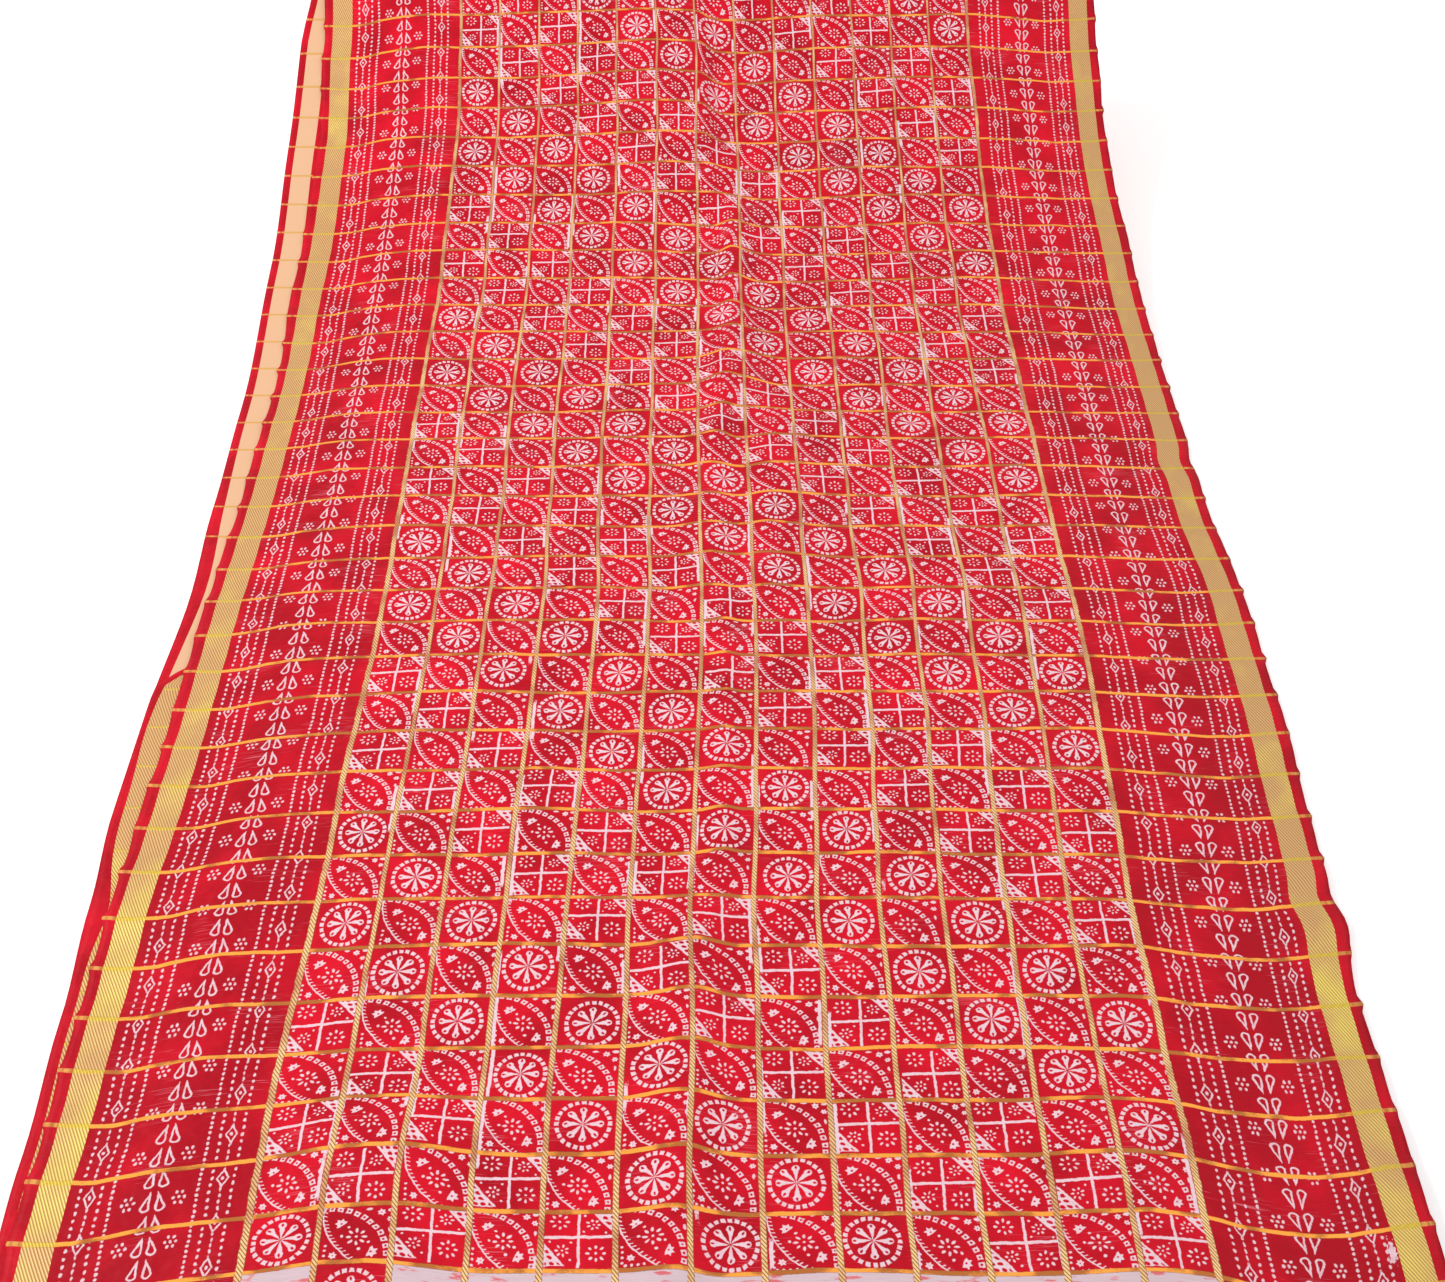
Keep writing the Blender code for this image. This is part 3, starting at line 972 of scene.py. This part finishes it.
# %% Finish of a square with its motif
def square_finish(name, motif):
    """Red ground, motif, stray white lines beside the ropes, and gold lines."""
    finish = Finish(name)
    colour, relief = red_ground(finish)
    inner = finish.across - MM_BORDER
    column, row = (inner / MM_SQUARE).whole(), (finish.along / MM_SQUARE).whole()
    shift_x = (finish.cloud(column * 0.73, row * 1.31, 5.0, 0.0) - 0.5) * 9.0
    shift_y = (finish.cloud(column * 1.37, row * 0.57, 9.0, 0.0) - 0.5) * 9.0
    hand_x, hand_y = wander(finish, 0.8, 9.0, 15.0)
    x = inner.repeated(MM_SQUARE)
    y = -finish.along.repeated(MM_SQUARE)
    place_x, place_y = x + shift_x + hand_x, y + shift_y + hand_y
    colour = printed(finish, colour, motif(place_x, place_y))
    # In places the resist line under a rope shows beside it
    half_square = (inner * (2.0 / MM_SQUARE)).whole()
    here = finish.cloud(half_square * 0.73, finish.along / 90.0, 6.0, 0.0)
    beside = (place_x.size() - MM_SQUARE / 2.0 + 2.8).size() - 1.5
    colour = printed(finish, colour, beside.greater((-here + 0.66) * 30.0), 0.9)
    # Gold lines on the four sides
    sway = weft_sway(finish)
    gap = -(x.size()) + MM_SQUARE / 2.0
    outer = (finish.across - MM_BORDER).size().lesser((finish.across - MM_BORDER - MM_GRID).size())
    gap = (gap + sway.size() * 0.4).lesser(outer - (ROPE_HALF_OUTER - ROPE_HALF))
    colour, ribbon = add_ribbon(finish, colour, weft_gap(finish, sway), 0.52)
    colour, rope = add_rope(finish, colour, gap, ROPE_HALF)
    gold = ribbon.greater(rope)
    rough = gold * -0.10 + 0.50
    return finish.finish(colour, relief + gold * 1.1, rough, gold * 0.2)


wheel_silk = square_finish("wheel_silk", wheel)
leaf_silk = square_finish("leaf_silk", leaf)
cross_silk = square_finish("cross_silk", cross)
print("square finishes use", len(leaf_silk.node_tree.nodes), "nodes at most")

# %% [markdown]
# ## The printed borders
# Each border has a vine of hollow drops with small rosettes on both sides,
# between rows of dots and strings of diamonds. The border is even about its
# vine, so one half is drawn and folded over. The right border is the left
# one turned upside down, as it is on the cloth.

# %% Border print
VINE_FROM_ZARI = 71.5    # millimetres from the gold band to the vine
BLOT_FROM_ZARI = 5.5     # where a drop of the resist fell on the right border
BLOT_ALONG = 1977.0
VINE_PITCH = 22.5
MOTIF_PITCH = 45.0
DROP_LEAN = math.radians(11.0)


def border_print(b, s):
    """The border's motifs; b is from the gold band, s along, tips at more s."""
    aside = (b - VINE_FROM_ZARI).size()
    strip = (aside - 52.8).size()
    # Rows of dots, a string with diamonds between them, and a denser row
    dots = oval(strip - 9.0, s.repeated(7.2), 1.3, 1.85)
    string = oval(strip, s.repeated(6.4), 0.95, 2.2)
    far = s.repeated(MOTIF_PITCH)
    diamond = strip / 5.3 + far.size() / 10.3 - 1.0
    frame = (diamond + 0.16).size() * 4.7 - 0.7
    kernel = oval(strip, far, 1.3, 1.7)
    inside = diamond * 4.0
    strung = string.greater(-inside).lesser(frame).lesser(kernel)
    dense = oval(aside - 34.2, s.repeated(5.2), 1.3, 1.65)
    # Rosettes beside the vine
    rosette = flower(aside - 20.0, (s + 14.0).repeated(MOTIF_PITCH) * 0.8, 6, 4.5, 1.35, 1.2)
    # Vine of hollow drops that lean together
    out, up = aside - 4.8, (s + 4.0).repeated(VINE_PITCH)
    lean_x = out * math.cos(DROP_LEAN) + up * math.sin(DROP_LEAN)
    lean_y = up * math.cos(DROP_LEAN) - out * math.sin(DROP_LEAN)
    spine = (lean_y + 5.6).within(0.0, 14.9)
    drop = length(lean_x, lean_y + 5.6 - spine) - (spine * -0.27 + 4.35)
    hollow = (drop + 0.95).size() - 0.9
    return dots.lesser(strung).lesser(dense).lesser(rosette).lesser(hollow)


def border_finish():
    """Red, deeper towards the near end, with the print and the gold weft lines."""
    finish = Finish("border_silk")
    colour, relief = red_ground(finish, finish.along * 0.00026 - 0.06)
    hand_x, hand_y = wander(finish, 0.9, 8.0, 21.0)
    left = finish.across.inside(500.0, 1.0)
    zari_edge = (SELVEDGE + ZARI) * 1000.0
    from_left = finish.across - zari_edge
    from_right = -finish.across + (WIDTH * 1000.0 - zari_edge)
    b = from_left.lesser(from_right) + hand_x
    s = finish.along * (left * -2.0 + 1.0) + hand_y
    marks = border_print(b, s)
    blot = oval(from_right - BLOT_FROM_ZARI, finish.along - BLOT_ALONG + hand_y * 5.0, 3.5, 11.0)
    blot = blot + (finish.cloud(finish.across / 2.2, finish.along / 3.5, 12.0, 2.0) - 0.5) * 7.0
    colour = printed(finish, colour, marks.lesser(blot + hand_x * 2.5), 0.78)
    sway = weft_sway(finish)
    colour, ribbon = add_ribbon(finish, colour, weft_gap(finish, sway), 0.44)
    gap = -b + (MM_BORDER - zari_edge)
    colour, rope = add_rope(finish, colour, gap, ROPE_HALF_OUTER)
    gold = ribbon.greater(rope)
    return finish.finish(colour, relief + gold * 1.1, gold * -0.10 + 0.48, gold * 0.2)


border_silk = border_finish()
print("border finish uses", len(border_silk.node_tree.nodes), "nodes")

# %% [markdown]
# ## Gold bands, plain edges and the undyed strip
# The zari bands are woven with flat gold thread in a slanting twill. On the
# wrong side the gold is hidden, and the band is a smooth peach. One strip
# beyond the last square was tied off and took no red, but for one square.

# %% Gold band and its wrong side
ZARI_TAN = dye("DCAE74")
# The yellow of a painted highlight on the gold band.
ZARI_PAINTED_HIGHLIGHT = dye("F0D66E")
ZARI_LINE = dye("8E5834")
WEFT_ON_ZARI = dye("D4B43A")
PEACH = dye("DCB08C")
PEACH_DEEP = dye("D9A57C")
WEFT_ON_PEACH = dye("CF9C50")


def zari_finish():
    """Flat gold thread in a twill, crossed by the gold weft lines, with painted highlights in patches."""
    finish = Finish("zari_twill")
    line = ((finish.across - finish.along * 0.5) * (2.0 * math.pi / 2.9)).wave() * 0.5 + 0.5
    # Painted highlights: soft patches, and more of them towards the near end where the band tilts to the
    # light.
    painted_highlight_cloud = finish.cloud(finish.across / 60.0, finish.along / 75.0, 40.0, 3.0)
    thread = finish.cloud(finish.across / 6.0, finish.along / 0.8, 44.0, 1.0)
    near = (-finish.along).inside(-1590.0, 60.0) * 0.5
    painted_highlight_amount = (painted_highlight_cloud * 2.6 - 1.45 + near + thread * 0.2).within(0.0, 1.0)
    colour = finish.mix(painted_highlight_amount, ZARI_TAN, ZARI_PAINTED_HIGHLIGHT)
    colour = finish.mix((line * line * 0.75).within(0.0, 1.0), colour, ZARI_LINE)
    cover = spread_flat(finish, weft_gap(finish, weft_sway(finish))).inside(RIBBON_HALF, 0.5)
    weft = (finish.across * (2.0 * math.pi / 2.2)).wave() * 0.25 + 0.75
    colour = finish.mix(cover * weft, colour, WEFT_ON_ZARI)
    finish.shader.inputs["Metallic"].default_value = 0.15
    return finish.finish(colour, line * 0.5 + cover * 0.5, 0.40)


def peach_finish():
    """The back of the gold band, with thin orange lines across it."""
    finish = Finish("zari_wrong_side")
    grain = finish.cloud(finish.across / 8.0, finish.along / 1.2, 48.0, 2.0)
    colour = finish.mix(grain * 0.5, PEACH, PEACH_DEEP)
    held = above_pattern_stop(finish)
    cover = weft_gap(finish, grain * 0.4).inside(1.8, 0.4) * held
    colour = finish.mix(cover * 0.85, colour, WEFT_ON_PEACH)
    return finish.finish(colour, grain * 0.3, 0.55)


zari_twill = zari_finish()
zari_back = peach_finish()
print("gold band", ZARI * 1000.0, "mm wide")


# %% Plain red, selvedge and undyed strip
UNDYED = dye("DCC4CA")
UNDYED_SHADE = dye("B898A4")


def selvedge_finish():
    """Plain red edge; the gold weft lines end in it."""
    finish = Finish("selvedge_silk")
    colour, relief = red_ground(finish, 0.22, 0.0)
    held = above_pattern_stop(finish)
    gap = spread_flat(finish, weft_gap(finish, weft_sway(finish)))
    # The gold weft ends are streaked with painted shade.
    streak = finish.cloud(finish.across / 5.0, finish.along / 57.5, 53.0, 1.0)
    ribbon = finish.mix(streak.inside(0.5, 0.2), SELVEDGE_RIBBON, RIBBON_PAINTED_SHADE)
    colour = finish.mix(gap.inside(RIBBON_HALF, 0.3) * held, colour, ribbon)
    return finish.finish(colour, relief, 0.5)


def plain_finish():
    """Dyed silk with no motif, as at the plain end of the sari."""
    finish = Finish("plain_silk")
    colour, relief = red_ground(finish, 0.12)
    return finish.finish(colour, relief, 0.5)


def undyed_finish():
    """Pinkish white silk with smears of red, crossed by the warp ropes."""
    finish = Finish("undyed_silk")
    slub = finish.cloud(finish.across / 30.0, finish.along / 0.9, 11.0, 2.0)
    smear = finish.cloud(finish.across / 22.0, finish.along / 7.0, 80.0, 3.0)
    colour = finish.mix(slub * 0.6, UNDYED, UNDYED_SHADE)
    colour = finish.mix(smear.inside(0.36, 0.06) * 0.7, colour, RED_BRIGHT)
    inner = finish.across - MM_BORDER
    gap = -(inner.repeated(MM_SQUARE).size()) + MM_SQUARE / 2.0
    colour, ribbon = add_ribbon(finish, colour, weft_gap(finish, slub), 0.5)
    colour, rope = add_rope(finish, colour, gap, ROPE_HALF)
    gold = ribbon.greater(rope)
    return finish.finish(colour, slub * 0.5 + gold, 0.5, gold * 0.2)


selvedge_silk = selvedge_finish()
plain_silk = plain_finish()
undyed_silk = undyed_finish()
print("plain, selvedge and undyed finishes")

# %% [markdown]
# ## Dressing the sheet
# The material slots follow the list of finishes. A second set of slots, in
# the same order, is for the wrong side: the dyed squares look alike on both
# faces, and only the gold band has another back.

# %% Slots, thickness and the frame
face_side = {
    "selvedge": selvedge_silk, "zari band": zari_twill, "border": border_silk,
    "wheel": wheel_silk, "leaf": leaf_silk, "cross": cross_silk,
    "undyed": undyed_silk, "plain": plain_silk,
}
for name in FINISHES:
    sheet_mesh.materials.append(face_side[name])
for name in FINISHES:
    sheet_mesh.materials.append(zari_back if name == "zari band" else face_side[name])

thicken = cloth.modifiers.new("thickness", "SOLIDIFY")
thicken.thickness = SILK
thicken.offset = 0.0
thicken.use_even_offset = True
thicken.material_offset = len(FINISHES)

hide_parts("sari")
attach(cloth, "root")
print("dressed with", len(sheet_mesh.materials), "slots")

# %% [markdown]
# ## Floor, light and camera
# The photo was taken with soft light on white. A pale floor, a bright plain
# world, a large soft lamp from the left and a weaker one from the right give
# the same look, with just enough direction to show the creases. The camera
# looks down at forty degrees from chest height, as the pattern's squares show.

# %% Stage and light
FLOOR_HALF = 12.0
FLOOR_GLOW = 0.25
WORLD_LIGHT = 0.64
floor_mesh = bpy.data.meshes.new("floor")
floor_form = bmesh.new()
bmesh.ops.create_grid(floor_form, x_segments=1, y_segments=1, size=FLOOR_HALF)
floor_form.to_mesh(floor_mesh)
floor_form.free()
floor = bpy.data.objects.new("floor", floor_mesh)
bpy.context.scene.collection.objects.link(floor)
floor_paint = bpy.data.materials.new("floor_paint")
floor_paint.use_nodes = True
paint = floor_paint.node_tree.nodes["Principled BSDF"].inputs
paint["Base Color"].default_value = (0.98, 0.98, 0.98, 1.0)
paint["Roughness"].default_value = 0.9
paint["Emission Color"].default_value = (1.0, 1.0, 1.0, 1.0)
paint["Emission Strength"].default_value = FLOOR_GLOW
floor_mesh.materials.append(floor_paint)

world = bpy.data.worlds.new("studio")
world.use_nodes = True
world.node_tree.nodes["Background"].inputs["Color"].default_value = (1.0, 1.0, 1.0, 1.0)
world.node_tree.nodes["Background"].inputs["Strength"].default_value = WORLD_LIGHT
bpy.context.scene.world = world


def soft_lamp(name, place, aim, size, power):
    """A square lamp that faces a point."""
    data = bpy.data.lights.new(name, "AREA")
    data.shape = "SQUARE"
    data.size = size
    data.energy = power
    lamp = bpy.data.objects.new(name, data)
    lamp.location = place
    lamp.rotation_euler = (Vector(aim) - Vector(place)).to_track_quat("-Z", "Y").to_euler()
    bpy.context.scene.collection.objects.link(lamp)


soft_lamp("lamp_left", (-2.8, -0.1, 2.4), (-0.1, 0.1, 0.0), 1.8, 96.0)
soft_lamp("lamp_right", (2.6, 0.6, 3.2), (0.0, 0.2, 0.0), 3.0, 35.0)
bpy.context.scene.view_settings.view_transform = "Standard"
print("stage and light are set")

# %% Camera
PHOTO_WIDTH = 1445.0
FOCAL_PIXELS = 2000.0
CAMERA_DOWN = math.radians(40.0)
CAMERA_ABOVE_CLOTH = 1.362
CLOTH_TOP = 0.005
CAMERA_BACK_OF_LINE_20 = 1.7148

camera_data = bpy.data.cameras.new("camera")
camera_data.sensor_width = 36.0
camera_data.lens = 36.0 * FOCAL_PIXELS / PHOTO_WIDTH
camera = bpy.data.objects.new("camera", camera_data)
line_20 = SHIFT_Y - 20.0 * SQUARE
camera.location = (SHIFT_X, line_20 - CAMERA_BACK_OF_LINE_20, CAMERA_ABOVE_CLOTH + CLOTH_TOP)
camera.rotation_euler = (math.radians(90.0) - CAMERA_DOWN, 0.0, 0.0)
bpy.context.scene.collection.objects.link(camera)
bpy.context.scene.camera = camera
print("camera at", [round(v, 3) for v in camera.location])

# %% Update the scene
bpy.context.view_layer.update()
